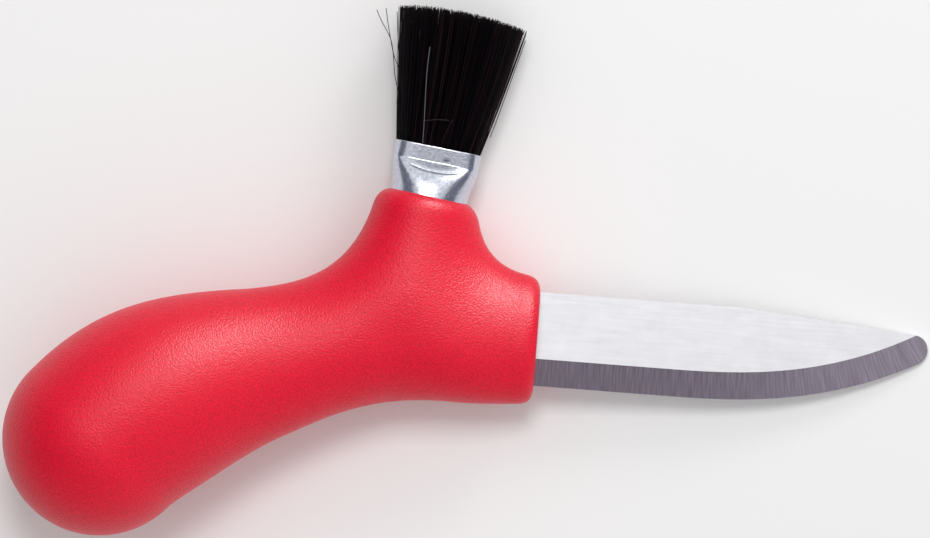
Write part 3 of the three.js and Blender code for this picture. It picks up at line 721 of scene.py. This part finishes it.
# Hairs that stray, across, along and through the brush, each with its colour's place on the ramp
stray_hairs = (
    (0.0, ((-8.4, 15.0, 1), (-8.9, 16.6, 1), (-10.2, 19.6, 1.2), (-11.3, 23.6, 1.4), (-12.4, 26.1, 1.6),
           (-14.3, 28.4, 1.8), (-15.6, 30.3, 2))),
    (0.0, ((-8.8, 18.0, -1), (-9.7, 20.8, -1), (-11.1, 23.1, -1), (-12.8, 27.3, -1), (-14.1, 31.0, -1))),
    (0.5, ((-9.2, 20.0, 2), (-10.4, 24.1, 2), (-12.0, 30.7, 2))),
    (1.0, ((-2.9, 8.0, 3.7), (-3.2, 11.0, 4.4), (-4.6, 20.7, 5.3), (-5.0, 25.6, 5.6))),
    (0.99, ((-3.3, 12.6, 4.5), (-1.3, 13.2, 4.7), (0.9, 13.5, 4.5))),
    (0.95, ((0.4, 8.0, 3.7), (0.6, 10.4, 4.3), (1.5, 13.8, 4.6))),
    (0.5, ((8.6, 12.0, 0.5), (9.2, 15.4, 0.5), (9.9, 20.0, 0.5), (11.4, 30.2, 0.5))),
)
stray_steps = 13
points = [np.array([vertex.co for vertex in tuft_mesh.vertices])]
quads = [np.array([face.vertices for face in tuft_mesh.polygons])]
chances = [np.array([item.vector for item in tuft_mesh.attributes["chance"].data])]
for shade, path in stray_hairs:
    steps = np.linspace(0, 1, stray_steps)
    middle = np.stack([smooth_through(np.array(line, float), steps) for line in zip(*path)], -1)
    ahead = np.gradient(middle, axis=0)
    across = np.cross(ahead, (0, 0, 1))
    across /= np.linalg.norm(across, axis=1)[:, None]
    sides_of_hair = ((1, 0), (0, 1), (-1, 0), (0, -1))
    ring = [middle + hair_diameter / 2 * (across * u + np.array((0, 0, v))) for u, v in sides_of_hair]
    numbers = np.arange(stray_steps * 4).reshape(stray_steps, 4) + sum(len(part) for part in points)
    beside = np.roll(numbers, -1, 1)
    sides = np.stack((numbers[:-1], numbers[1:], beside[1:], beside[:-1]), -1).reshape(-1, 4)
    points.append(np.stack(ring, 1).reshape(-1, 3))
    quads += [sides, numbers[:1], numbers[-1:, ::-1]]
    chances.append(np.full((stray_steps * 4, 3), shade))
hair_mesh = bpy.data.meshes.new("bristle_tuft")
hair_mesh.from_pydata(np.concatenate(points).tolist(), [], np.concatenate(quads).tolist())
luck = hair_mesh.attributes.new("chance", "FLOAT_VECTOR", "POINT")
luck.data.foreach_set("vector", np.concatenate(chances).ravel())
bristles = finished("bristle_tuft", hair_mesh, [hair_skin], (), brush_to_row, 60)
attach(bristles, "root")
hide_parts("bristles")

# Floor, light and camera
# A plain pale floor under an even pale sky, as in a light tent, with soft lamps overhead and beyond
# the brush. Grey cards round it show in the gloss. The camera looks square on the blade's side.
floor_skin = bpy.data.materials.new("pale_floor")
floor_skin.use_nodes = True
paint = floor_skin.node_tree.nodes["Principled BSDF"]
paint.inputs["Base Color"].default_value = linear("#F5F5F5")
paint.inputs["Roughness"].default_value = 0.9
paint.inputs["Specular IOR Level"].default_value = 0.0
floor_mesh = bpy.data.meshes.new("floor")
floor_mesh.from_pydata([(-6, -6, 0), (6, -6, 0), (6, 6, 0), (-6, 6, 0)], [], [(0, 1, 2, 3)])
floor = bpy.data.objects.new("floor", floor_mesh)
floor.data.materials.append(floor_skin)
bpy.context.scene.collection.objects.link(floor)

# The tent's sky is brighter over the blade's end; what is seen in it, or mirrored, is evenly pale
world = bpy.data.worlds.new("light_tent")
world.use_nodes = True
tree = world.node_tree
away = add_node(tree, "ShaderNodeTexCoord")
toward = add_node(tree, "ShaderNodeVectorMath", {
    0: away.outputs["Generated"], 1: (0.6, 0.05, 0.8)}, operation="DOT_PRODUCT")
glow = add_node(tree, "ShaderNodeMapRange", {
    "Value": toward.outputs["Value"], "From Min": -0.3, "From Max": 1.0, "To Min": 0.08, "To Max": 0.94})
ray = add_node(tree, "ShaderNodeLightPath")
seen = add_node(tree, "ShaderNodeMath", {
    0: ray.outputs["Is Camera Ray"], 1: ray.outputs["Is Glossy Ray"]}, operation="ADD")
seen = add_node(tree, "ShaderNodeMath", {
    0: seen.outputs[0], 1: ray.outputs["Is Transmission Ray"]}, operation="ADD", use_clamp=True)
level = add_node(tree, "ShaderNodeMix", {"Factor": seen.outputs[0], 2: glow.outputs["Result"], 3: 1.0})
sky = tree.nodes["Background"]
sky.inputs["Color"].default_value = linear("#F5F5F5")
tree.links.new(level.outputs[0], sky.inputs["Strength"])
bpy.context.scene.world = world


def lamp(name, place, size, power):
    """A soft square lamp at a place in the knife's frame, in millimetres, turned to the knife."""
    light = bpy.data.lights.new(name, "AREA")
    light.shape = "SQUARE"
    light.size = size * METRES
    light.energy = power
    holder = bpy.data.objects.new(name, light)
    start, end = (knife_to_row @ Vector(point) for point in (place, (-20, 0, 0)))
    holder.location = start
    holder.rotation_euler = (end - start).to_track_quat("-Z", "Y").to_euler()
    bpy.context.scene.collection.objects.link(holder)
    return holder


def flag(name, code, corners):
    """A grey card, in the knife's frame, that only shows where metal or gloss mirrors it."""
    flag_skin = bpy.data.materials.new(name)
    flag_skin.use_nodes = True
    paint = flag_skin.node_tree.nodes["Principled BSDF"]
    paint.inputs["Base Color"].default_value = linear("#000000")
    paint.inputs["Specular IOR Level"].default_value = 0.0
    paint.inputs["Emission Color"].default_value = linear(code)
    paint.inputs["Emission Strength"].default_value = 1.0
    mesh = bpy.data.meshes.new(name)
    mesh.from_pydata(corners, [], [range(len(corners))])
    mesh.transform(knife_to_row)
    mesh.materials.append(flag_skin)
    card = bpy.data.objects.new(name, mesh)
    bpy.context.scene.collection.objects.link(card)
    card.visible_camera = False
    card.visible_diffuse = False
    card.visible_shadow = False


flag("edge_side_flag", "#645B66", [(-600, -110, 600), (95, -110, 600), (95, -900, 500), (-600, -900, 500)])
flag("nose_side_flag", "#8A818D", [(95, -110, 600), (600, -110, 600), (600, -900, 500), (95, -900, 500)])
flag("ball_side_flag", "#7A7985", [(-700, -600, 30), (-700, 600, 30), (-700, 600, 900), (-700, -600, 900)])
flag("tip_side_flag", "#7A7985", [(700, -600, 30), (700, 600, 30), (700, 600, 900), (700, -600, 900)])
flag("brush_side_flag", "#0E0B0E", [(-800, 760, 10), (900, 760, 10), (900, 760, 170), (-800, 760, 170)])
lamp("overhead_softbox", (-60, 380, 920), 300, 3.4)
lamp("brush_side_softbox", (400, 760, 450), 300, 2.0)

# One more lamp gives the handle's skin its sheen, and reaches nothing else
sheen = lamp("sheen_softbox", (300, 790, 500), 400, 14.0)
sheen.visible_diffuse = False
sheen.data.cycles.max_bounces = 0
sheen.light_linking.receiver_collection = bpy.data.collections.new("sheen_receivers")
sheen.light_linking.receiver_collection.objects.link(handle)

photo_size = (930, 538)
pixel = 0.178
photo_roll = math.radians(4.4)
photo_middle = Vector((-13.73, 11.44, 0))
camera_reach = 1200
camera_data = bpy.data.cameras.new("camera")
camera_data.sensor_width = 36
camera_data.lens = 36 * camera_reach / (photo_size[0] * pixel)
camera_data.clip_end = 20
camera = bpy.data.objects.new("camera", camera_data)
view = knife_turn @ Matrix.Rotation(photo_roll, 3, "Z")
camera_place = knife_to_row @ (photo_middle + Vector((0, 0, camera_reach)))
camera.matrix_world = Matrix.Translation(camera_place) @ view.to_4x4()
bpy.context.scene.collection.objects.link(camera)
bpy.context.scene.camera = camera
bpy.context.scene.view_settings.view_transform = "Standard"
